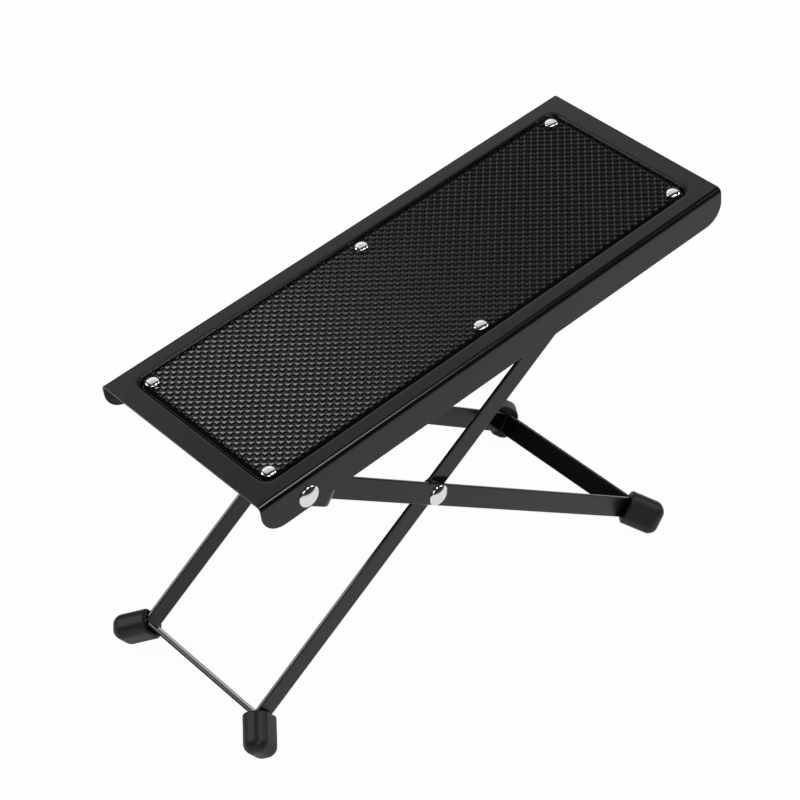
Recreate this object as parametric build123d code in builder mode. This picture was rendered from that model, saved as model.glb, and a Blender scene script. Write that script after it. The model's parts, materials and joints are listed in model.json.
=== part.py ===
from build123d import *
from math import acos, atan, atan2, cos, degrees, hypot, radians, sin, sqrt
import os

# Folding footrest for a seated guitar player, all lengths in millimetres.
# A pressed sheet platform rides on two U-shaped frames of flat bar that cross like scissors.
# +X runs from the platform's low end to its high end, +Y to the far side, +Z up.
# The origin lies on the floor under the middle of the open footrest.

# Platform pan, pressed from one sheet
deck_length = 302.0
deck_width = 120.0
sheet = 1.2
fold_radius = 3.0
flange_depth = 19.0
flange_low_corner = 12.0
flange_high_corner = 11.0
recess_end_border = 11.6
recess_side_border = 10.5
recess_depth = 2.6
recess_wall_run = 1.3
recess_corner = 6.0
recess_rim_radius = 0.9
recess_foot_radius = 1.2

# Rubber mat and the rivets that hold it
mat_gap = 0.9
mat_thickness = 2.1
mat_corner = 5.0
mat_groove_depth = 0.7
mat_groove_width = 3.2
mat_pad_columns = 12
mat_pad_rows = 8
mat_rivet_end_inset = 6.5
mat_rivet_side_inset = 5.9
mat_rivet_head = 7.6
mat_rivet_dome = 1.6
mat_rivet_shank = 3.2
mat_rivet_tail = 5.0
mat_rivet_tail_height = 0.8
mat_rivet_columns = 3
mat_rivet_rows = 2

# Flat bar of both leg frames
bar_width = 12.0
bar_thickness = 2.0
bar_bend = 1.8
bar_end_share = 0.48

# Outer frame, from the platform hinge over the crossing to the floor corner
outer_upper = 107.0
outer_lower = 171.0
arm_setback = 10.0
tab_length = 18.0
joggle_run = 9.0
joggle_bend = 7.0

# Inner frame, from the lock rod over the crossing to the floor corner
inner_upper = 141.0
inner_lower = 141.0
frame_spacing = 3.0

# Hinge between flange and outer frame, measured on the platform
hinge_from_low_end = 26.7
hinge_below_top = 11.8

# Large hinge rivets and their washers
hinge_head = 11.6
hinge_dome = 3.2
hinge_shank = 6.0
hinge_tail = 9.0
hinge_tail_height = 1.3
washer_diameter = 11.0
washer_thickness = 0.8
spacer_diameter = 10.0

# Lock rod and the notched racks that it works in
rod_diameter = 5.0
rod_head = 8.0
rod_head_height = 1.0
rod_to_teeth = 0.3
top_notch_distance = 204.5
notch_pitch = 8.5
notch_count = 5
notch_clearance = 0.2
rack_setback = 11.0
rack_thickness = 1.5
rack_foot_width = 12.0
rack_end_margin = 8.0
rack_ramp = 1.0

# Rubber foot caps on the four floor corners
cap_reach = 18.2
cap_mouth = 2.6
cap_thickness = 13.6
cap_width = 18.4
cap_rounding = 5.6
cap_wall = 1.6
cap_mouth_rounding = 1.4
cap_seat_depth = 0.6

# Clearances
hole_clearance = 0.05
play = 0.1
overrun = 5.0

os.makedirs("parts", exist_ok=True)


# Where the frames stand
# The rod's distance from the platform hinge in the top notch opens the scissors.
opening_cosine = (top_notch_distance**2 - outer_upper**2 - inner_upper**2) / (2 * outer_upper * inner_upper)
frame_opening = acos(opening_cosine)


def cap_extent(part_along_leg, part_across_leg):
    """How far a foot cap reaches past its corner, along a direction given by its two parts."""
    in_plane = cap_reach - cap_rounding + cap_thickness / 2 - cap_rounding
    across = cap_width / 2 - cap_rounding
    return abs(part_along_leg) / sqrt(2) * in_plane + abs(part_across_leg) * across + cap_rounding


def standing_height(lower_length, slope):
    """Height of the crossing over the floor for a frame that leans at a slope."""
    return lower_length * sin(slope) + cap_extent(sin(slope), cos(slope))


# Both frames stand on the floor: the inner frame's slope is found by halving its range.
least_slope = 0.0
most_slope = frame_opening
for halving in range(50):
    inner_slope = (least_slope + most_slope) / 2
    outer_slope = frame_opening - inner_slope
    if standing_height(inner_lower, inner_slope) < standing_height(outer_lower, outer_slope):
        least_slope = inner_slope
    else:
        most_slope = inner_slope
crossing_height = standing_height(inner_lower, inner_slope)

# Places relative to the crossing, as (X, Z)
hinge_offset = (-outer_upper * cos(outer_slope), outer_upper * sin(outer_slope))
rod_offset = (inner_upper * cos(inner_slope), inner_upper * sin(inner_slope))
deck_tilt = atan2(rod_offset[1] - hinge_offset[1], rod_offset[0] - hinge_offset[0])
low_end_offset = (
    hinge_offset[0] - hinge_from_low_end * cos(deck_tilt) - hinge_below_top * sin(deck_tilt),
    hinge_offset[1] - hinge_from_low_end * sin(deck_tilt) + hinge_below_top * cos(deck_tilt),
)

# The origin is under the middle of the whole length, so the crossing stands off it.
high_corner_centre = (deck_length - flange_high_corner, flange_depth - flange_high_corner)
high_corner_x = high_corner_centre[0] * cos(deck_tilt) + high_corner_centre[1] * sin(deck_tilt)
high_reaches = (
    low_end_offset[0] + deck_length * cos(deck_tilt),
    low_end_offset[0] + high_corner_x + flange_high_corner,
    outer_lower * cos(outer_slope) + cap_extent(cos(outer_slope), sin(outer_slope)),
)
low_reaches = (
    low_end_offset[0],
    -inner_lower * cos(inner_slope) - cap_extent(cos(inner_slope), sin(inner_slope)),
)
crossing_x = -(max(high_reaches) + min(low_reaches)) / 2


def beside_crossing(offset, y=0.0):
    """A point at an (X, Z) offset from the crossing, at a distance y to the far side."""
    return Vector(crossing_x + offset[0], y, crossing_height + offset[1])


# Working planes: X along the piece, Y to the far side, Z out of its upper face
deck = Plane(
    origin=beside_crossing(low_end_offset),
    x_dir=(cos(deck_tilt), 0, sin(deck_tilt)),
    z_dir=(-sin(deck_tilt), 0, cos(deck_tilt)),
)
outer_plane = Plane(
    origin=beside_crossing((0, 0)),
    x_dir=(cos(outer_slope), 0, -sin(outer_slope)),
    z_dir=(sin(outer_slope), 0, cos(outer_slope)),
)
inner_plane = Plane(
    origin=beside_crossing((0, 0)),
    x_dir=(cos(inner_slope), 0, sin(inner_slope)),
    z_dir=(-sin(inner_slope), 0, cos(inner_slope)),
)
deck_along = Axis(deck.origin, deck.x_dir)
deck_up = Axis(deck.origin, deck.z_dir)


def on_deck(along, across, up):
    """A point in the platform's own directions, from the middle of its low top edge."""
    return deck.from_local_coords(Vector(along, across, up))


def side_plane(offset, side, y):
    """An upright plane facing out of one side, at a distance y from the middle."""
    return Plane(origin=beside_crossing(offset, side * y), x_dir=(1, 0, 0), z_dir=(0, side, 0))


def pin_plane(offset, side, y):
    """The half-section plane of a rivet: its Y points out along the rivet's axis."""
    return Plane(origin=beside_crossing(offset, side * y), x_dir=(1, 0, 0), z_dir=(0, 0, side))


sides = {"near": -1, "far": 1}

# Sizes that follow from the driving ones
recess_length = deck_length - 2 * recess_end_border
recess_width = deck_width - 2 * recess_side_border
recess_lean = degrees(atan(recess_wall_run / recess_depth))
wall_offset = sheet * hypot(recess_depth, recess_wall_run) / recess_depth
mat_length = recess_length - 2 * recess_wall_run - 2 * mat_gap
mat_width = recess_width - 2 * recess_wall_run - 2 * mat_gap
rivet_spacing_x = (recess_length - 2 * mat_rivet_end_inset) / (mat_rivet_columns - 1)
rivet_spacing_y = recess_width - 2 * mat_rivet_side_inset
pad_pitch_x = rivet_spacing_x / mat_pad_columns
pad_pitch_y = rivet_spacing_y / mat_pad_rows
grooves_across = mat_pad_columns * (mat_rivet_columns - 1)
grooves_along = mat_pad_rows * (mat_rivet_rows - 1)
panel_under = recess_depth + sheet
deck_middle = deck_length / 2
outer_half_width = deck_width / 2 - arm_setback
inner_half_width = outer_half_width - bar_thickness - frame_spacing
rack_half_spacing = inner_half_width - rack_setback
tab_half_width = deck_width / 2 - sheet - play
hinge_hole = hinge_shank / 2 + hole_clearance
rod_radius = rod_diameter / 2
tooth_depth = hinge_below_top - rod_radius - rod_to_teeth

deck_face_down = Plane(origin=on_deck(deck_middle, 0, 0), x_dir=deck.x_dir, z_dir=-deck.z_dir)
panel_top = Plane(origin=on_deck(deck_middle, 0, -recess_depth), x_dir=deck.x_dir, z_dir=deck.z_dir)
mat_top = panel_top.offset(mat_thickness)


# Platform pan: a folded channel with a shallow tray pressed into its top
deck_section = Plane(origin=deck.origin, x_dir=(0, 1, 0), z_dir=deck.x_dir)
with BuildPart() as platform_pan:
    with BuildSketch(deck_section) as channel_section:
        with BuildSketch(mode=Mode.PRIVATE) as channel_outside:
            Rectangle(deck_width, flange_depth, align=(Align.CENTER, Align.MAX))
            fillet(channel_outside.vertices().group_by(Axis.Y)[-1], fold_radius)
        with BuildSketch(mode=Mode.PRIVATE) as channel_inside:
            with Locations((0, -sheet)):
                Rectangle(deck_width - 2 * sheet, flange_depth, align=(Align.CENTER, Align.MAX))
            fillet(channel_inside.vertices().group_by(Axis.Y)[-1], fold_radius - sheet)
        add(channel_outside.sketch)
        add(channel_inside.sketch, mode=Mode.SUBTRACT)
    extrude(amount=deck_length)
    with BuildSketch(deck_face_down):
        RectangleRounded(
            recess_length + 2 * wall_offset, recess_width + 2 * wall_offset, recess_corner + wall_offset
        )
    extrude(amount=panel_under, taper=recess_lean)
    with BuildSketch(deck_face_down):
        RectangleRounded(recess_length, recess_width, recess_corner)
    extrude(amount=recess_depth, taper=recess_lean, mode=Mode.SUBTRACT)
    recess_rim = faces().filter_by(deck_up).sort_by(deck_up)[-1].inner_wires()[0]
    fillet(recess_rim.edges(), recess_rim_radius)
    tray_bottom = faces().filter_by(deck_up).filter_by(lambda face: face.normal_at().dot(deck.z_dir) < 0)
    fillet(tray_bottom.sort_by(SortBy.AREA)[-1].outer_wire().edges(), recess_foot_radius)
    flange_corners = edges().filter_by(Axis.Y).group_by(deck_up)[0].sort_by(deck_along)
    fillet(flange_corners[:2], flange_low_corner)
    flange_corners = edges().filter_by(Axis.Y).group_by(deck_up)[0].sort_by(deck_along)
    fillet(flange_corners[-2:], flange_high_corner)
    with Locations(panel_top):
        with GridLocations(rivet_spacing_x, rivet_spacing_y, mat_rivet_columns, mat_rivet_rows):
            Hole(mat_rivet_shank / 2 + hole_clearance, depth=sheet + overrun)
    with Locations(side_plane(hinge_offset, 1, deck_width / 2)):
        Hole(hinge_hole, depth=deck_width + overrun)
platform_pan.part.label = "platform_pan"
export_step(platform_pan.part, "parts/platform_pan.step")

# Rubber mat: a rounded slab on the floor of the tray, its tread cut into raised pads by V grooves
# Whole rows and columns of pads fit between two rivets, so that each rivet head bears on a pad.
groove_across_plane = Plane(origin=mat_top.origin, x_dir=deck.x_dir, z_dir=(0, -1, 0))
groove_along_plane = Plane(origin=mat_top.origin, x_dir=(0, 1, 0), z_dir=deck.x_dir)
groove_section = [
    (-mat_groove_width, mat_groove_depth),
    (0, -mat_groove_depth),
    (mat_groove_width, mat_groove_depth),
]
with BuildPart() as rubber_mat:
    with BuildSketch(panel_top):
        RectangleRounded(mat_length, mat_width, mat_corner)
        with GridLocations(rivet_spacing_x, rivet_spacing_y, mat_rivet_columns, mat_rivet_rows):
            Circle(mat_rivet_shank / 2 + hole_clearance, mode=Mode.SUBTRACT)
    extrude(amount=mat_thickness)
    with BuildSketch(groove_across_plane):
        with GridLocations(pad_pitch_x, pad_pitch_x, grooves_across, 1):
            Polygon(*groove_section, align=None)
    extrude(amount=mat_width, both=True, mode=Mode.SUBTRACT)
    with BuildSketch(groove_along_plane):
        with GridLocations(pad_pitch_y, pad_pitch_y, grooves_along, 1):
            Polygon(*groove_section, align=None)
    extrude(amount=mat_length, both=True, mode=Mode.SUBTRACT)
rubber_mat.part.label = "rubber_mat"
export_step(rubber_mat.part, "parts/rubber_mat.step")


def rivet_section(head_radius, dome, shank_radius, grip, tail_radius, tail_height):
    """Half section of a domed rivet: the head's seat is at zero and the shank runs down Y."""
    with BuildSketch() as section:
        with BuildLine():
            JernArc((0, dome), (1, 0), dome_radius(head_radius, dome), -dome_angle(head_radius, dome))
            Polyline(
                (head_radius, 0),
                (shank_radius, 0),
                (shank_radius, -grip),
                (tail_radius, -grip),
                (tail_radius, -grip - tail_height / 2),
                (shank_radius, -grip - tail_height),
                (0, -grip - tail_height),
                (0, dome),
            )
        make_face()
    return section.sketch


def dome_radius(head_radius, dome):
    """Radius of the ball that a rivet's dome is a cap of."""
    return (head_radius**2 + dome**2) / (2 * dome)


def dome_angle(head_radius, dome):
    """Degrees from the top of the dome down to its rim."""
    return degrees(2 * atan(dome / head_radius))


# Mat rivets: heads on the mat, tails set against the tray's underside
with BuildPart() as mat_rivets:
    for rivet_place in mat_top.location * GridLocations(
        rivet_spacing_x, rivet_spacing_y, mat_rivet_columns, mat_rivet_rows
    ):
        rivet_seat = Plane(rivet_place)
        half_section = Plane(origin=rivet_seat.origin, x_dir=(0, 1, 0), z_dir=rivet_seat.x_dir)
        with BuildSketch(half_section):
            add(
                rivet_section(
                    mat_rivet_head / 2,
                    mat_rivet_dome,
                    mat_rivet_shank / 2,
                    mat_thickness + sheet,
                    mat_rivet_tail / 2,
                    mat_rivet_tail_height,
                )
            )
        revolve(axis=Axis(rivet_seat.origin, rivet_seat.z_dir))
mat_rivets.part.label = "mat_rivets"
export_step(mat_rivets.part, "parts/mat_rivets.step")

# Height racks: angle strips under the tray, one row of rod notches each
notch_radius = rod_radius + notch_clearance
first_notch = hinge_from_low_end + top_notch_distance
rack_start = first_notch - rack_end_margin
rack_length = (notch_count - 1) * notch_pitch + 2 * rack_end_margin
rack_height = tooth_depth - panel_under
for side_name, side in sides.items():
    rack_corner = on_deck(rack_start, side * rack_half_spacing, -panel_under)
    web_plane = Plane(origin=rack_corner, x_dir=deck.x_dir, z_dir=(0, -1, 0))
    foot_plane = Plane(origin=rack_corner, x_dir=deck.x_dir, z_dir=-deck.z_dir)
    with BuildPart() as height_rack:
        with BuildSketch(web_plane):
            with Locations((rack_length / 2, -rack_height / 2)):
                Rectangle(rack_length, rack_height)
            for notch in range(notch_count):
                notch_along = rack_end_margin + notch * notch_pitch
                with Locations((notch_along, -rack_height)):
                    Circle(notch_radius, mode=Mode.SUBTRACT)
                with BuildLine():
                    Polyline(
                        (notch_along - notch_radius - rack_ramp, -rack_height),
                        (notch_along, notch_radius - rack_height),
                        (notch_along, -rack_height),
                        close=True,
                    )
                make_face(mode=Mode.SUBTRACT)
        extrude(amount=side * rack_thickness)
        with BuildSketch(foot_plane):
            with Locations((rack_length / 2, side * rack_foot_width / 2)):
                Rectangle(rack_length, rack_foot_width)
        extrude(amount=sheet)
    height_rack.part.label = f"height_rack_{side_name}"
    export_step(height_rack.part, f"parts/height_rack_{side_name}.step")

# Outer leg frame: flat bar swept round a U, its arms set outwards to the flanges at the top
arm_line = outer_half_width - bar_thickness / 2
tab_line = tab_half_width - bar_thickness / 2
tab_end = -outer_upper - bar_width / 2
joggle_start = -outer_upper + tab_length
joggle_end = joggle_start + joggle_run
outer_foot_line = outer_lower - bar_thickness / 2
with BuildPart() as outer_leg_frame:
    with BuildLine(outer_plane) as outer_path:
        FilletPolyline(
            (tab_end, -tab_line),
            (joggle_start, -tab_line),
            (joggle_end, -arm_line),
            (outer_foot_line, -arm_line),
            (outer_foot_line, arm_line),
            (joggle_end, arm_line),
            (joggle_start, tab_line),
            (tab_end, tab_line),
            radius=(joggle_bend, joggle_bend, bar_bend, bar_bend, joggle_bend, joggle_bend),
        )
    bar_start = Plane(origin=outer_path.line @ 0, x_dir=(0, 1, 0), z_dir=outer_plane.x_dir)
    with BuildSketch(bar_start):
        Rectangle(bar_thickness, bar_width)
    sweep(path=outer_path.line)
    outer_along = Axis(outer_plane.origin, outer_plane.x_dir)
    fillet(edges().filter_by(Axis.Y).group_by(outer_along)[0], bar_end_share * bar_width)
    with Locations(side_plane(hinge_offset, 1, deck_width / 2), side_plane((0, 0), 1, deck_width / 2)):
        Hole(hinge_hole, depth=deck_width + overrun)
outer_leg_frame.part.label = "outer_leg_frame"
export_step(outer_leg_frame.part, "parts/outer_leg_frame.step")

# Inner leg frame: a plain U of the same bar, open at the top, where the rod joins its arms
inner_line = inner_half_width - bar_thickness / 2
inner_top = inner_upper + bar_width / 2
inner_foot_line = -inner_lower + bar_thickness / 2
with BuildPart() as inner_leg_frame:
    with BuildLine(inner_plane) as inner_path:
        FilletPolyline(
            (inner_top, -inner_line),
            (inner_foot_line, -inner_line),
            (inner_foot_line, inner_line),
            (inner_top, inner_line),
            radius=bar_bend,
        )
    bar_start = Plane(origin=inner_path.line @ 0, x_dir=(0, 1, 0), z_dir=inner_plane.x_dir)
    with BuildSketch(bar_start):
        Rectangle(bar_thickness, bar_width)
    sweep(path=inner_path.line)
    inner_along = Axis(inner_plane.origin, inner_plane.x_dir)
    fillet(edges().filter_by(Axis.Y).group_by(inner_along)[-1], bar_end_share * bar_width)
    with Locations(side_plane((0, 0), 1, deck_width / 2)):
        Hole(hinge_hole, depth=deck_width + overrun)
    with Locations(side_plane(rod_offset, 1, deck_width / 2)):
        Hole(rod_radius + hole_clearance, depth=deck_width + overrun)
inner_leg_frame.part.label = "inner_leg_frame"
export_step(inner_leg_frame.part, "parts/inner_leg_frame.step")

# Lock rod: round bar through both inner arms, its ends headed over
with BuildPart() as lock_rod:
    with BuildSketch(side_plane(rod_offset, 1, 0)):
        Circle(rod_radius)
    extrude(amount=inner_half_width, both=True)
    for side in sides.values():
        with BuildSketch(side_plane(rod_offset, side, inner_half_width)):
            Circle(rod_head / 2)
        extrude(amount=rod_head_height)
    rod_ends = faces().filter_by(Axis.Y).group_by(Axis.Y)
    chamfer(rod_ends[0].edges() + rod_ends[-1].edges(), rod_head_height / 2)
lock_rod.part.label = "lock_rod"
export_step(lock_rod.part, "parts/lock_rod.step")

# Hinge rivets, with the washers under their tails and the spacers between the frames
platform_grip = sheet + play + bar_thickness + play + washer_thickness
crossing_grip = bar_thickness + frame_spacing + bar_thickness + play + washer_thickness
for side_name, side in sides.items():
    hinge_pins = {
        f"platform_pivot_rivet_{side_name}": (hinge_offset, deck_width / 2, platform_grip),
        f"crossing_rivet_{side_name}": ((0, 0), outer_half_width, crossing_grip),
    }
    for rivet_name, (offset, seat, grip) in hinge_pins.items():
        with BuildPart() as hinge_rivet:
            with BuildSketch(pin_plane(offset, side, seat)):
                add(
                    rivet_section(
                        hinge_head / 2, hinge_dome, hinge_shank / 2, grip, hinge_tail / 2, hinge_tail_height
                    )
                )
            revolve(axis=Axis(beside_crossing(offset), (0, 1, 0)))
        hinge_rivet.part.label = rivet_name
        export_step(hinge_rivet.part, f"parts/{rivet_name}.step")
    rings = {
        f"platform_pivot_washer_{side_name}": (
            hinge_offset,
            deck_width / 2 - platform_grip + washer_thickness,
            washer_diameter,
            washer_thickness,
        ),
        f"crossing_washer_{side_name}": (
            (0, 0),
            outer_half_width - crossing_grip + washer_thickness,
            washer_diameter,
            washer_thickness,
        ),
        f"crossing_spacer_{side_name}": (
            (0, 0),
            outer_half_width - bar_thickness,
            spacer_diameter,
            frame_spacing - play,
        ),
    }
    for ring_name, (offset, seat, diameter, thickness) in rings.items():
        with BuildPart() as ring:
            with BuildSketch(side_plane(offset, side, seat)):
                Circle(diameter / 2)
                Circle(hinge_hole, mode=Mode.SUBTRACT)
            extrude(amount=-thickness)
        ring.part.label = ring_name
        export_step(ring.part, f"parts/{ring_name}.step")

# Rubber foot caps: blunt rounded caps that point out of each floor corner at 45 degrees
cap_length = cap_mouth + cap_reach
cavity_depth = cap_mouth + cap_seat_depth
corners = {
    "outer": (outer_plane, outer_plane.x_dir, outer_lower, outer_half_width),
    "inner": (inner_plane, -inner_plane.x_dir, inner_lower, inner_half_width),
}
for frame_name, (leg_plane, towards_floor, lower_length, half_width) in corners.items():
    for side_name, side in sides.items():
        outwards = Vector(0, side, 0)
        cap_axis = (towards_floor + outwards).normalized()
        corner = leg_plane.origin + towards_floor * lower_length + outwards * half_width
        mouth_plane = Plane(origin=corner - cap_axis * cap_mouth, x_dir=leg_plane.z_dir, z_dir=cap_axis)
        with BuildPart() as foot_cap:
            with BuildSketch(mouth_plane):
                RectangleRounded(cap_width, cap_thickness, cap_rounding)
            extrude(amount=cap_length)
            cap_along = Axis(mouth_plane.origin, cap_axis)
            fillet(faces().filter_by(cap_along).sort_by(cap_along)[-1].edges(), cap_rounding)
            fillet(faces().filter_by(cap_along).sort_by(cap_along)[0].edges(), cap_mouth_rounding)
            with BuildSketch(mouth_plane):
                Rectangle(bar_width + 2 * play, cap_thickness - 2 * cap_wall)
            extrude(amount=cavity_depth, mode=Mode.SUBTRACT)
        foot_cap.part.label = f"{frame_name}_foot_{side_name}"
        export_step(foot_cap.part, f"parts/{frame_name}_foot_{side_name}.step")

# The places that the joints turn about, and how far the frames turn when folded flat
hinge_point = beside_crossing(hinge_offset)
crossing_point = beside_crossing((0, 0))
print("platform hinge", hinge_point, "crossing", crossing_point)
print("folds by", degrees(deck_tilt + outer_slope), "and", degrees(frame_opening))
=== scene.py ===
import json
from math import acos, ceil, cos, pi, radians, sin

import bmesh
import bpy
from mathutils import Matrix, Vector

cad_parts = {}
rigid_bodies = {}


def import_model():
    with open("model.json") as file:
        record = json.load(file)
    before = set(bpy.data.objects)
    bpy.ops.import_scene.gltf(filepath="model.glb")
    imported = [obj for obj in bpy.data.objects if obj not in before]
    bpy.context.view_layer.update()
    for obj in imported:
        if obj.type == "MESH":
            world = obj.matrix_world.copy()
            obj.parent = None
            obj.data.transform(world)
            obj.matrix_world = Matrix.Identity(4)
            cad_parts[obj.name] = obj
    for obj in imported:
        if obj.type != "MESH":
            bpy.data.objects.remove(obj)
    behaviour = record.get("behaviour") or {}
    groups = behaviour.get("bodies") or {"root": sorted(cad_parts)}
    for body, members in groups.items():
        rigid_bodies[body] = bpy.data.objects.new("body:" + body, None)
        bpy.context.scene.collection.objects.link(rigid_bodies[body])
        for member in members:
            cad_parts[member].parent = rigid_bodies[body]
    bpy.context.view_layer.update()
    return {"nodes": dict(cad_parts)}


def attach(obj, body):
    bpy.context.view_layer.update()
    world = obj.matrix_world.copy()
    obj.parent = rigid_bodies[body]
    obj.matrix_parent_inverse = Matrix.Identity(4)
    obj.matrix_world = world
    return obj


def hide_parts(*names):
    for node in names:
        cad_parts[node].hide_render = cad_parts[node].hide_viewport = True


# Dressing of a folding footrest for a seated guitar player. Lengths are in metres.
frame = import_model()
nodes = frame["nodes"]

mm = 0.001

# The platform's own directions: X along it from its low end, Y to the far side, Z out of its top
deck_tilt = radians(9.1063)
deck_origin = Vector((-146.767, 0.0, 165.044)) * mm
deck_length = 302.0 * mm
deck_turn = Matrix.Rotation(-deck_tilt, 3, "Y")
deck_normal = deck_turn @ Vector((0, 0, 1))

# Recess pressed into the platform, and how much wider than the CAD rim its rim rolls over
recess_depth = 2.6 * mm
recess_length = 278.8 * mm
recess_width = 99.0 * mm
recess_rim_radius = 0.9 * mm
recess_wall_slope = radians(63.4)
recess_rim_spread = 2.7

# Mat, measured from the middle of the recess. Its studs lie off centre, nearer to the far and
# high walls, and its rim slants from them down to the mat's own outline.
mat_length = 274.4 * mm
mat_width = 94.6 * mm
mat_thickness = 2.1 * mm
mat_rim_height = 0.7 * mm
mat_rim_rounding = 0.2 * mm
studs_low = -135.6 * mm
studs_high = 137.8 * mm
studs_near = -46.0 * mm
studs_far = 48.3 * mm
stud_field_corner = 3.2 * mm
stud_foot_height = 0.8 * mm
stud_pitch_x = 4.9 * mm
stud_pitch_y = 4.98 * mm
stud_shift_x = 2.5 * mm
stud_shift_y = 3.1 * mm

# Each stud's foot, flank and blunt tip, as the run and rise of an inset
stud_insets = (
    (0.3 * mm, 0.9 * mm),
    (0.56 * mm, 0.345 * mm),
    (0.1 * mm, 0.055 * mm),
)

# Rivets through the mat, placed along and across the platform
mat_rivet_columns = (18.1 * mm, 151.0 * mm, 283.9 * mm)
mat_rivet_rows = (-43.6 * mm, 43.6 * mm)
mat_rivet_head = 7.6 * mm
mat_rivet_dome = 1.25 * mm
mat_rivet_shank = 3.2 * mm
mat_rivet_grip = 3.3 * mm
mat_rivet_tail = 5.0 * mm
mat_rivet_tail_height = 0.8 * mm

# Hinge rivets: their points on the middle plane, their seats' distances from it, and their sizes
hinge_point = Vector((-118.536, 0.0, 157.619)) * mm
crossing_point = Vector((-26.983, 0.0, 102.237)) * mm
platform_seat = 60.0 * mm
crossing_seat = 50.0 * mm
platform_grip = 4.2 * mm
crossing_grip = 7.9 * mm
hinge_head = 11.6 * mm
hinge_dome_slope = radians(38)
hinge_rim_rounding = 0.9 * mm
hinge_rim_height = 0.1 * mm
hinge_shank = 6.0 * mm
hinge_tail = 9.0 * mm
hinge_tail_height = 1.3 * mm

# A spread tail from its seat to the dimple in its end, as shares of its radius and its height
tail_profile = ((1.0, 0.0), (0.96, 0.55), (0.72, 1.0), (0.3, 0.8), (0.0, 0.75))

# Lower crossbar of the inner frame, measured down the leg from the crossing
inner_slope = radians(38.4856)
inner_downward = Vector((-cos(inner_slope), 0, -sin(inner_slope)))
inner_crossbar_start = 140.0 * mm

# Rounding of the worn steel edges
bar_edge = 0.6 * mm
sheet_edge = 0.35 * mm

# Fineness of the modelling
weld_distance = 0.002 * mm
tile_weld_distance = 0.01 * mm
turning_steps = 56
mat_rivet_dome_steps = 14
hinge_dome_steps = 9
hinge_rim_steps = 6
flat_angle = radians(0.5)
sharp_angle = radians(50)
steel_smoothing = radians(40)
rivet_smoothing = radians(50)

sides = {"near": -1, "far": 1}


# Working with Blender's tools


def deselect_all():
    bpy.ops.object.select_all(action="DESELECT")


def make_active(piece):
    """Leaves one piece selected and active."""
    deselect_all()
    piece.select_set(True)
    bpy.context.view_layer.objects.active = piece


def name_new(name):
    """Names the primitive that was just added."""
    piece = bpy.context.object
    piece.name = name
    piece.data.name = name
    return piece


def edit(kind="FACE"):
    """Opens the active piece for editing with nothing selected."""
    bpy.ops.object.mode_set(mode="EDIT")
    bpy.ops.mesh.select_mode(type=kind)
    bpy.ops.mesh.select_all(action="DESELECT")


def leave_edit():
    bpy.ops.object.mode_set(mode="OBJECT")


def pick_faces(test):
    """Selects the faces whose middle and normal pass a test, and no others."""
    bpy.ops.mesh.select_mode(type="FACE")
    bpy.ops.mesh.select_all(action="DESELECT")
    shape = bmesh.from_edit_mesh(bpy.context.object.data)
    for face in shape.faces:
        face.select_set(bool(test(face.calc_center_median(), face.normal)))
    bmesh.update_edit_mesh(bpy.context.object.data)


def pick_edges(test):
    """Selects the edges whose two ends pass a test, and no others."""
    bpy.ops.mesh.select_mode(type="EDGE")
    bpy.ops.mesh.select_all(action="DESELECT")
    shape = bmesh.from_edit_mesh(bpy.context.object.data)
    for edge in shape.edges:
        edge.select_set(bool(test(edge.verts[0].co, edge.verts[1].co)))
    bmesh.update_edit_mesh(bpy.context.object.data)


def pick_points(test):
    """Selects the points whose places pass a test, and no others."""
    bpy.ops.mesh.select_mode(type="VERT")
    bpy.ops.mesh.select_all(action="DESELECT")
    shape = bmesh.from_edit_mesh(bpy.context.object.data)
    for point in shape.verts:
        point.select_set(bool(test(point.co)))
    shape.select_flush(True)
    bmesh.update_edit_mesh(bpy.context.object.data)


def apply_modifier(piece, kind, **settings):
    """Adds a modifier with its settings and applies it."""
    make_active(piece)
    modifier = piece.modifiers.new(kind.title(), kind)
    for name, value in settings.items():
        setattr(modifier, name, value)
    bpy.ops.object.modifier_apply(modifier=modifier.name)


def settle(piece, turn, place):
    """Turns and moves a piece modelled at the origin, and puts its place in its mesh."""
    piece.matrix_world = Matrix.Translation(place) @ turn.to_4x4()
    make_active(piece)
    bpy.ops.object.transform_apply(location=True, rotation=True, scale=True)


def smooth(piece, angle):
    """Smooths the light over every edge that turns by less than an angle."""
    make_active(piece)
    bpy.ops.object.shade_smooth_by_angle(angle=angle)


def copy_piece(piece, name):
    """A copy with a mesh of its own."""
    made = piece.copy()
    made.data = piece.data.copy()
    made.name = name
    made.data.name = name
    bpy.context.scene.collection.objects.link(made)
    return made


def turned(name, outline):
    """A turned piece: its outline, as radius and height, is drawn out and spun round Z."""
    deselect_all()
    first = Vector((outline[0][0], 0, outline[0][1]))
    bpy.ops.mesh.primitive_plane_add(size=mm, location=(0, 0, 0))
    piece = name_new(name)
    edit("VERT")
    bpy.ops.mesh.select_all(action="SELECT")
    bpy.ops.mesh.merge(type="CENTER")
    bpy.ops.transform.translate(value=first)
    here = first
    for radius, height in outline[1:]:
        there = Vector((radius, 0, height))
        bpy.ops.mesh.extrude_region_move(TRANSFORM_OT_translate={"value": there - here})
        here = there
    bpy.ops.mesh.select_all(action="SELECT")
    bpy.ops.mesh.spin(steps=turning_steps, angle=2 * pi, center=(0, 0, 0), axis=(0, 0, 1))
    bpy.ops.mesh.select_all(action="SELECT")
    bpy.ops.mesh.remove_doubles(threshold=weld_distance)
    bpy.ops.mesh.normals_make_consistent(inside=False)
    leave_edit()
    return piece


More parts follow.
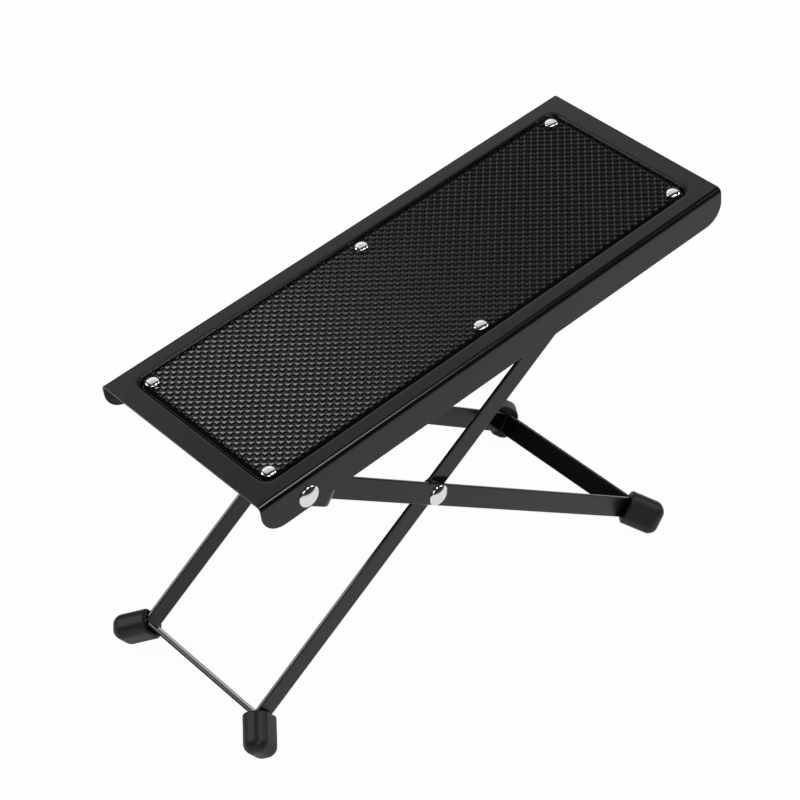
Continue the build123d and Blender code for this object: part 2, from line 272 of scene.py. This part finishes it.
def merged_copy(node_name, name):
    """A copy of a CAD piece, its triangles merged into whole faces."""
    deselect_all()
    piece = bpy.data.objects.new(name, nodes[node_name].data.copy())
    piece.data.name = name
    bpy.context.scene.collection.objects.link(piece)
    make_active(piece)
    bpy.ops.mesh.customdata_custom_splitnormals_clear()
    edit("VERT")
    bpy.ops.mesh.select_all(action="SELECT")
    bpy.ops.mesh.remove_doubles(threshold=weld_distance)
    bpy.ops.mesh.dissolve_limited(angle_limit=flat_angle)
    leave_edit()
    return piece


def round_edges(piece, radius):
    """Rounds the sharp edges and keeps the larger faces flat to the light."""
    apply_modifier(
        piece,
        "BEVEL",
        width=radius,
        segments=3,
        limit_method="ANGLE",
        angle_limit=sharp_angle,
        use_clamp_overlap=False,
    )
    smooth(piece, steel_smoothing)
    apply_modifier(piece, "WEIGHTED_NORMAL", mode="FACE_AREA", weight=100, keep_sharp=True)


# Shader maths


class Value:
    """A shader output that takes part in Python sums."""

    def __init__(self, shade, socket):
        self.shade = shade
        self.socket = socket

    def _sum(self, operation, *terms):
        return self.shade.node("Math", {"operation": operation}, dict(enumerate(terms)))

    def __add__(self, other):
        return self._sum("ADD", self, other)

    def __radd__(self, other):
        return self._sum("ADD", other, self)

    def __sub__(self, other):
        return self._sum("SUBTRACT", self, other)

    def __rsub__(self, other):
        return self._sum("SUBTRACT", other, self)

    def __mul__(self, other):
        return self._sum("MULTIPLY", self, other)

    def __rmul__(self, other):
        return self._sum("MULTIPLY", other, self)

    def __truediv__(self, other):
        return self._sum("DIVIDE", self, other)

    def __rtruediv__(self, other):
        return self._sum("DIVIDE", other, self)

    def held(self):
        """Kept between nothing and one."""
        return self.shade.node("Clamp", {}, {"Value": self})


class Shade:
    """A material's nodes, with one method that adds any of them."""

    def __init__(self, name):
        self.material = bpy.data.materials.new(name)
        self.material.use_nodes = True
        self.tree = self.material.node_tree
        self.tree.nodes.clear()

    def node(self, kind, settings=None, sockets=None, output=0):
        """Adds a node: its settings first, then the values or links of its sockets."""
        made = self.tree.nodes.new("ShaderNode" + kind)
        for name, value in (settings or {}).items():
            setattr(made, name, value)
        for name, value in (sockets or {}).items():
            if isinstance(value, Value):
                self.tree.links.new(value.socket, made.inputs[name])
            else:
                made.inputs[name].default_value = value
        return Value(self, made.outputs[output]) if len(made.outputs) else None

    def place(self):
        return self.node("TexCoord", output="Object")

    def along(self, direction):
        """How far a point lies along a direction, in metres."""
        terms = {0: self.place(), 1: tuple(direction)}
        return self.node("VectorMath", {"operation": "DOT_PRODUCT"}, terms, output=1)

    def noise(self, scale, detail):
        """Noise in features per metre, about one half on average."""
        sockets = {"Vector": self.place(), "Scale": scale, "Detail": detail}
        return self.node("TexNoise", {}, sockets)

    def between(self, mask, low, high):
        """A number that goes from low to high with a mask."""
        return self.node("MapRange", {}, {"Value": mask, "To Min": low, "To Max": high})

    def blend(self, mask, one, other):
        """A colour that goes from one to the other with a mask."""
        return self.node("Mix", {"data_type": "RGBA"}, {0: mask, 6: one, 7: other}, output=2)

    def bump(self, height, strength, distance):
        sockets = {"Height": height, "Strength": strength, "Distance": distance}
        return self.node("Bump", {}, sockets)

    def mixed(self, share, surface, other):
        """A surface that gives way to another one by a share."""
        return self.node("MixShader", {}, {0: share, 1: surface, 2: other})

    def dull(self, value):
        return self.node("BsdfDiffuse", {}, {"Color": grey(value)})

    def gloss(self, **sockets):
        """The main surface, with the names of its sockets written with underscores."""
        named = {name.replace("_", " "): value for name, value in sockets.items()}
        return self.node("BsdfPrincipled", {}, named)

    def finish(self, surface):
        self.node("OutputMaterial", {}, {"Surface": surface})
        return self.material


def grey(value, tint=0.0):
    """A grey with its green held back and its blue raised by a tint."""
    return (value, value * (1 - tint), value * (1 + tint), 1.0)


# Reflections on the coat and the rubber lean a little to violet
cool_gloss = (1.0, 0.93, 1.0, 1.0)

# The mat's cut rim is rough; it and the lower crossbar carry painted shade, a darker dull
# surface, and each sets in over a short way
rim_roughness = 0.8
rim_dull_and_shade_share = 0.8
rim_blend = 0.025 * mm
crossbar_blend = 1.0 * mm


def make_black_coat():
    """Satin powder coat: a fine even skin with slight changes of gloss, with painted shade on
    the lower crossbar, a dull grey in place of its gloss.
    """
    shade = Shade("black_coat")
    grain = shade.noise(scale=2600.0, detail=2.0)
    cloud = shade.noise(scale=30.0, detail=3.0)
    from_crossing = shade.along(inner_downward) - crossing_point.dot(inner_downward)
    crossbar_shade_share = ((from_crossing - inner_crossbar_start) / crossbar_blend + 0.5).held()
    satin = shade.gloss(
        Base_Color=shade.blend(cloud, grey(0.003, 0.03), grey(0.005, 0.03)),
        Roughness=shade.between(cloud, 0.16, 0.24),
        IOR=1.40,
        Specular_Tint=cool_gloss,
        Normal=shade.bump(grain, strength=0.08, distance=0.01 * mm),
    )
    # Painted shade: the lower crossbar gives way to a matte grey, which takes none of the bright
    # reflections that the coat takes.
    return shade.finish(shade.mixed(crossbar_shade_share, satin, shade.dull(0.03)))


def make_mat_rubber():
    """Moulded rubber, shiny on its studs; the cut rim below them is rough, and darkened with
    painted shade where it lies low in the recess.
    """
    shade = Shade("mat_rubber")
    cloud = shade.noise(scale=60.0, detail=3.0)
    grain = shade.noise(scale=4200.0, detail=2.0)
    studs_start = recess_depth - (mat_rim_height + stud_foot_height) / 2
    below_deck = deck_origin.dot(deck_normal) - shade.along(deck_normal)
    on_rim = ((below_deck - studs_start) / rim_blend + 0.5).held()
    # Painted shade: the rim's colour is darker than the studs', standing in for the shade low in
    # the recess.
    moulded = shade.gloss(
        Base_Color=shade.blend(on_rim, grey(0.013, 0.02), grey(0.002, 0.02)),
        Roughness=shade.between(cloud, 0.18, 0.25) * (1 - on_rim) + on_rim * rim_roughness,
        IOR=1.42,
        Specular_Tint=cool_gloss,
        Normal=shade.bump(grain, strength=0.08, distance=0.01 * mm),
    )
    # Painted shade: on the rim a dark dull surface takes most of the share, on top of its real
    # roughness.
    return shade.finish(shade.mixed(on_rim * rim_dull_and_shade_share, moulded, shade.dull(0.003)))


def make_foot_rubber():
    """Matte rubber with a fine pebbled skin."""
    shade = Shade("foot_rubber")
    cloud = shade.noise(scale=90.0, detail=4.0)
    grain = shade.noise(scale=3000.0, detail=3.0)
    surface = shade.gloss(
        Base_Color=shade.blend(cloud, grey(0.008, 0.02), grey(0.016, 0.02)),
        Roughness=shade.between(cloud, 0.38, 0.56),
        IOR=1.42,
        Specular_Tint=cool_gloss,
        Normal=shade.bump(grain, strength=0.2, distance=0.03 * mm),
    )
    return shade.finish(surface)


def make_bright_metal(name, least_roughness, most_roughness):
    """Polished plating, clouded a little by handling."""
    shade = Shade(name)
    cloud = shade.noise(scale=500.0, detail=4.0)
    surface = shade.gloss(
        Base_Color=grey(0.82, 0.01),
        Metallic=1.0,
        Roughness=shade.between(cloud, least_roughness, most_roughness),
        Normal=shade.bump(cloud, strength=0.08, distance=0.02 * mm),
    )
    return shade.finish(surface)


def make_zinc():
    """Zinc plating with its blotchy greys."""
    shade = Shade("zinc_steel")
    cloud = shade.noise(scale=220.0, detail=4.0)
    grain = shade.noise(scale=2500.0, detail=2.0)
    surface = shade.gloss(
        Base_Color=shade.blend(cloud, grey(0.46, 0.01), grey(0.62, 0.02)),
        Metallic=1.0,
        Roughness=shade.between(cloud, 0.28, 0.42),
        Normal=shade.bump(grain, strength=0.15, distance=0.02 * mm),
    )
    return shade.finish(surface)


black_coat = make_black_coat()
mat_rubber = make_mat_rubber()
foot_rubber = make_foot_rubber()
bright_rivet = make_bright_metal("bright_rivet", 0.10, 0.18)
brushed_rivet = make_bright_metal("brushed_rivet", 0.12, 0.20)
zinc_steel = make_zinc()


def paint(piece, material):
    piece.data.materials.clear()
    piece.data.materials.append(material)


# The CAD pieces' finishes, for the near and the far one of a pair alike
finishes = {
    "platform_pan": black_coat,
    "rubber_mat": mat_rubber,
    "mat_rivets": brushed_rivet,
    "height_rack": black_coat,
    "outer_leg_frame": black_coat,
    "inner_leg_frame": black_coat,
    "lock_rod": zinc_steel,
    "platform_pivot_rivet": bright_rivet,
    "platform_pivot_washer": zinc_steel,
    "crossing_rivet": bright_rivet,
    "crossing_washer": zinc_steel,
    "crossing_spacer": zinc_steel,
    "outer_foot": foot_rubber,
    "inner_foot": foot_rubber,
}
for node_name, node in nodes.items():
    paint(node, finishes[node_name.removesuffix("_near").removesuffix("_far")])


# The mat: a sheet of studs in a chequered field, cut to a rounded outline and set on its rim


def deck_point(along, across, up):
    return deck_origin + deck_turn @ Vector((along, across, up))


def repeat(piece, count, step):
    """Copies a tile along a step, joined edge to edge."""
    apply_modifier(
        piece,
        "ARRAY",
        count=count,
        use_relative_offset=False,
        use_constant_offset=True,
        constant_offset_displace=step,
        use_merge_vertices=True,
        merge_threshold=tile_weld_distance,
    )


def make_stud_sheet():
    """A closed sheet larger than the mat, its studs raised on every other square."""
    columns = ceil(mat_length / stud_pitch_x) + 3
    rows = ceil(mat_width / stud_pitch_y) + 3
    deselect_all()
    bpy.ops.mesh.primitive_grid_add(
        x_subdivisions=2, y_subdivisions=2, size=1.0, location=(0, 0, 0)
    )
    sheet = name_new("pyramid_mat")
    edit()
    bpy.ops.mesh.select_all(action="SELECT")
    bpy.ops.transform.resize(value=(stud_pitch_x, stud_pitch_y, 1.0))
    bpy.ops.transform.translate(value=(0, 0, stud_foot_height))
    pick_faces(lambda middle, normal: middle.x * middle.y > 0)
    for run, rise in stud_insets:
        bpy.ops.mesh.inset(thickness=run, depth=rise, use_individual=True)
    leave_edit()
    repeat(sheet, columns, (stud_pitch_x, 0, 0))
    repeat(sheet, rows, (0, stud_pitch_y, 0))
    edit("EDGE")
    bpy.ops.mesh.select_all(action="SELECT")
    bpy.ops.transform.translate(
        value=(
            stud_shift_x - columns // 2 * stud_pitch_x,
            stud_shift_y - rows // 2 * stud_pitch_y,
            0,
        )
    )
    bpy.ops.mesh.select_all(action="DESELECT")
    bpy.ops.mesh.select_non_manifold()
    bpy.ops.mesh.extrude_region_move(
        TRANSFORM_OT_translate={"value": (0, 0, mat_rim_height - stud_foot_height)}
    )
    bpy.ops.mesh.edge_face_add()
    bpy.ops.mesh.select_all(action="SELECT")
    bpy.ops.mesh.normals_make_consistent(inside=False)
    leave_edit()
    return sheet


def make_mat():
    field_length = studs_high - studs_low
    field_width = studs_far - studs_near
    field_middle = Vector((studs_low + studs_high, studs_near + studs_far, 0)) / 2
    mat = make_stud_sheet()

    # Cut the sheet to the stud field with a rounded block
    deselect_all()
    bpy.ops.mesh.primitive_cube_add(size=1.0, location=(*field_middle.xy, mat_thickness / 2))
    cutter = name_new("mat_outline")
    edit("EDGE")
    bpy.ops.mesh.select_all(action="SELECT")
    bpy.ops.transform.resize(value=(field_length, field_width, 3 * mat_thickness))
    pick_edges(lambda one, other: abs(one.z - other.z) > mat_thickness)
    bpy.ops.mesh.bevel(offset=stud_field_corner, segments=8, affect="EDGES")
    leave_edit()
    apply_modifier(mat, "BOOLEAN", operation="INTERSECT", object=cutter, solver="EXACT")
    bpy.data.objects.remove(cutter)

    # Bring the underside to the mat's own outline, draw the rim down and round its edge
    make_active(mat)
    edit()
    pick_faces(lambda middle, normal: normal.z < -0.9)
    bpy.ops.mesh.extrude_region_move(TRANSFORM_OT_translate={"value": -field_middle})
    bpy.ops.transform.resize(
        value=(mat_length / field_length, mat_width / field_width, 1.0),
        center_override=(0, 0, 0),
    )
    bpy.ops.mesh.extrude_region_move(
        TRANSFORM_OT_translate={"value": (0, 0, -mat_rim_height)}
    )
    bpy.ops.mesh.select_more()
    bpy.ops.mesh.region_to_loop()
    bpy.ops.mesh.bevel(offset=mat_rim_rounding, segments=3, affect="EDGES")
    leave_edit()
    settle(mat, deck_turn, deck_point(deck_length / 2, 0, -recess_depth))
    paint(mat, mat_rubber)
    return mat


mat = make_mat()
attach(mat, "platform")
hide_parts("rubber_mat")


# Rivets: a head, a shank and a spread tail, drawn as radius and height from the head's seat


def mat_rivet_head_outline():
    """A full dome, from its top to its rim."""
    angles = [
        step / mat_rivet_dome_steps * pi / 2 for step in range(mat_rivet_dome_steps + 1)
    ]
    return [(mat_rivet_head / 2 * sin(angle), mat_rivet_dome * cos(angle)) for angle in angles]


def hinge_head_outline():
    """A low dome that turns down over a tight round rim."""
    rim_middle = hinge_head / 2 - hinge_rim_rounding
    dome_edge = rim_middle + hinge_rim_rounding * sin(hinge_dome_slope)
    dome_radius = dome_edge / sin(hinge_dome_slope)
    dome_middle = hinge_rim_height + (hinge_rim_rounding - dome_radius) * cos(hinge_dome_slope)
    points = []
    for step in range(hinge_dome_steps):
        angle = step / hinge_dome_steps * hinge_dome_slope
        points.append((dome_radius * sin(angle), dome_middle + dome_radius * cos(angle)))
    for step in range(hinge_rim_steps + 1):
        angle = hinge_dome_slope + step / hinge_rim_steps * (pi / 2 - hinge_dome_slope)
        radius = rim_middle + hinge_rim_rounding * sin(angle)
        points.append((radius, hinge_rim_height + hinge_rim_rounding * cos(angle)))
    return points + [(hinge_head / 2, 0.0)]


def rivet_outline(head_outline, shank, grip, tail, tail_height):
    """The head's outline carried on down the shank and round the tail."""
    tail_outline = [
        (tail / 2 * width, -grip - tail_height * depth) for width, depth in tail_profile
    ]
    return head_outline + [(shank / 2, 0.0), (shank / 2, -grip)] + tail_outline


mat_rivet = turned(
    "mat_rivet_1",
    rivet_outline(
        mat_rivet_head_outline(),
        mat_rivet_shank,
        mat_rivet_grip,
        mat_rivet_tail,
        mat_rivet_tail_height,
    ),
)
smooth(mat_rivet, rivet_smoothing)
paint(mat_rivet, brushed_rivet)
rivet_places = [(along, across) for along in mat_rivet_columns for across in mat_rivet_rows]
rivet_copies = [
    copy_piece(mat_rivet, f"mat_rivet_{number}") for number in range(2, len(rivet_places) + 1)
]
for rivet, (along, across) in zip(rivet_copies + [mat_rivet], rivet_places):
    settle(rivet, deck_turn, deck_point(along, across, mat_thickness - recess_depth))
    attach(rivet, "platform")
    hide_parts("mat_rivets")

hinge_pins = {
    "platform_pivot_rivet": (hinge_point, platform_seat, platform_grip, "platform"),
    "crossing_rivet": (crossing_point, crossing_seat, crossing_grip, "outer_legs"),
}
for pin_name, (point, seat, grip, body) in hinge_pins.items():
    pin_outline = rivet_outline(
        hinge_head_outline(), hinge_shank, grip, hinge_tail, hinge_tail_height
    )
    for side_name, side in sides.items():
        pin = turned(f"{pin_name}_{side_name}_head", pin_outline)
        smooth(pin, rivet_smoothing)
        paint(pin, bright_rivet)
        turn = Matrix.Rotation(-side * pi / 2, 3, "X")
        settle(pin, turn, point + Vector((0, side * seat, 0)))
        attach(pin, body)
        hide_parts(f"{pin_name}_{side_name}")


# Pan and frames: the coated steel with its edges rounded as tumbling and paint leave them


def spread_recess_rim(pan):
    """Draws the rim of the pressed recess out into a wider, softer roll."""
    to_deck = deck_turn.transposed()
    settle(pan, to_deck, -(to_deck @ deck_origin))
    rim_drop = recess_rim_radius * (1 - cos(recess_wall_slope))
    middle = Vector((deck_length / 2, 0, 0))
    rim_slack = 0.01 * mm
    level_slack = 0.0006 * mm

    def on_rim(place):
        past_end = abs(place.x - middle.x) - recess_length / 2
        past_side = abs(place.y) - recess_width / 2
        within = past_end < mm and past_side < mm
        return within and -rim_drop - rim_slack < place.z < rim_slack

    edit("VERT")
    shape = bmesh.from_edit_mesh(pan.data)
    levels = sorted({round(point.co.z / mm, 3) for point in shape.verts if on_rim(point.co)})
    for level in levels:
        height = level * mm
        pick_points(lambda place: on_rim(place) and abs(place.z - height) < level_slack)
        slope = acos(min(1.0, 1 + height / recess_rim_radius))
        inward = recess_rim_radius * (sin(recess_wall_slope) - sin(slope))
        outward = inward * (recess_rim_spread - 1)
        bpy.ops.transform.resize(
            value=(1 + 2 * outward / recess_length, 1 + 2 * outward / recess_width, 1.0),
            center_override=middle,
        )
    leave_edit()
    settle(pan, deck_turn, deck_origin)


steel_pieces = {
    "platform_pan": ("pressed_pan", sheet_edge, "platform"),
    "outer_leg_frame": ("outer_bar", bar_edge, "outer_legs"),
    "inner_leg_frame": ("inner_bar", bar_edge, "inner_legs"),
}
for node_name, (piece_name, radius, body) in steel_pieces.items():
    steel = merged_copy(node_name, piece_name)
    if node_name == "platform_pan":
        spread_recess_rim(steel)
    round_edges(steel, radius)
    paint(steel, black_coat)
    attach(steel, body)
    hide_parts(node_name)

# The floor: white to the eye and in reflections, with a part of its own light and shadow kept
floor_radius = 6.0
floor_sides = 96
floor_grey = 0.92
floor_white = 0.97
floor_white_mirrored = 0.62


def make_floor_paint():
    """White that shows the object's shadow from above, and nothing at all from below."""
    shade = Shade("floor_white")
    seen = shade.node("LightPath", output="Is Camera Ray")
    in_metal = shade.node("LightPath", output="Is Glossy Ray")
    in_glass = shade.node("LightPath", output="Is Transmission Ray")
    share = seen * floor_white + (in_metal + in_glass) * floor_white_mirrored
    white = shade.node("Emission", {}, {"Color": grey(1.0), "Strength": 1.0})
    surface = shade.mixed(share.held(), shade.dull(floor_grey), white)
    from_below = shade.node("NewGeometry", output="Backfacing")
    return shade.finish(shade.mixed(from_below, surface, shade.node("BsdfTransparent")))


deselect_all()
bpy.ops.mesh.primitive_circle_add(
    vertices=floor_sides, radius=floor_radius, fill_type="NGON", location=(0, 0, 0)
)
floor = name_new("floor")
paint(floor, make_floor_paint())

# World and lamps
studio_grey = (0.03, 0.03, 0.031, 1.0)

world = bpy.data.worlds.new("studio")
bpy.context.scene.world = world
world.use_nodes = True
background = world.node_tree.nodes["Background"]
background.inputs["Color"].default_value = studio_grey
background.inputs["Strength"].default_value = 1.0

# Each softbox: its place, the point that it faces, its width and height, and how bright its
# face is, where one is white. The wide ones hang level and are what the flat steel mirrors.
footrest_middle = (0, 0, 0.12)
softboxes = {
    "back_softbox": ((0.90, 1.60, 1.70), (0.90, 1.60, 0.0), 2.6, 2.2, 0.66),
    "high_softbox": ((1.50, 1.60, 1.69), (1.50, 1.60, 0.0), 1.4, 2.2, 0.12),
    "far_softbox": ((0.75, 2.05, 1.71), (0.75, 2.05, 0.0), 2.2, 1.3, 0.35),
    "right_softbox": ((1.10, -0.50, 1.00), footrest_middle, 0.7, 0.7, 3.0),
    "front_softbox": ((0.13, -0.42, 1.32), footrest_middle, 0.36, 0.36, 10.5),
    "left_softbox": ((-0.78, 0.75, 0.79), footrest_middle, 0.32, 0.36, 10.0),
    "key_softbox": ((-0.95, -1.0, 1.25), footrest_middle, 0.9, 0.8, 3.0),
}
for lamp_name, (place, aim, width, height, brightness) in softboxes.items():
    lamp = bpy.data.lights.new(lamp_name, "AREA")
    lamp.shape = "RECTANGLE"
    lamp.size = width
    lamp.size_y = height
    lamp.energy = brightness * pi * width * height
    softbox = bpy.data.objects.new(lamp_name, lamp)
    softbox.location = place
    softbox.rotation_mode = "QUATERNION"
    softbox.rotation_quaternion = (Vector(aim) - Vector(place)).to_track_quat("-Z", "Y")
    bpy.context.scene.collection.objects.link(softbox)

# Camera
camera_place = Vector((-653.890, -697.238, 857.543)) * mm
camera_right = Vector((0.74599751, -0.66551938, 0.02390949))
camera_up = Vector((0.3933554, 0.4693242, 0.79057341))
camera_back = Vector((-0.53736323, -0.58036087, 0.61190033))
camera_axes = Matrix((camera_right, camera_up, camera_back)).transposed()

camera_data = bpy.data.cameras.new("camera")
camera_data.lens = 107.447
camera_data.sensor_width = 36.0
camera_data.clip_start = 0.05
camera_data.clip_end = 50.0
camera = bpy.data.objects.new("camera", camera_data)
camera.matrix_world = Matrix.Translation(camera_place) @ camera_axes.to_4x4()
bpy.context.scene.collection.objects.link(camera)
bpy.context.scene.camera = camera
bpy.context.scene.view_settings.view_transform = "Standard"
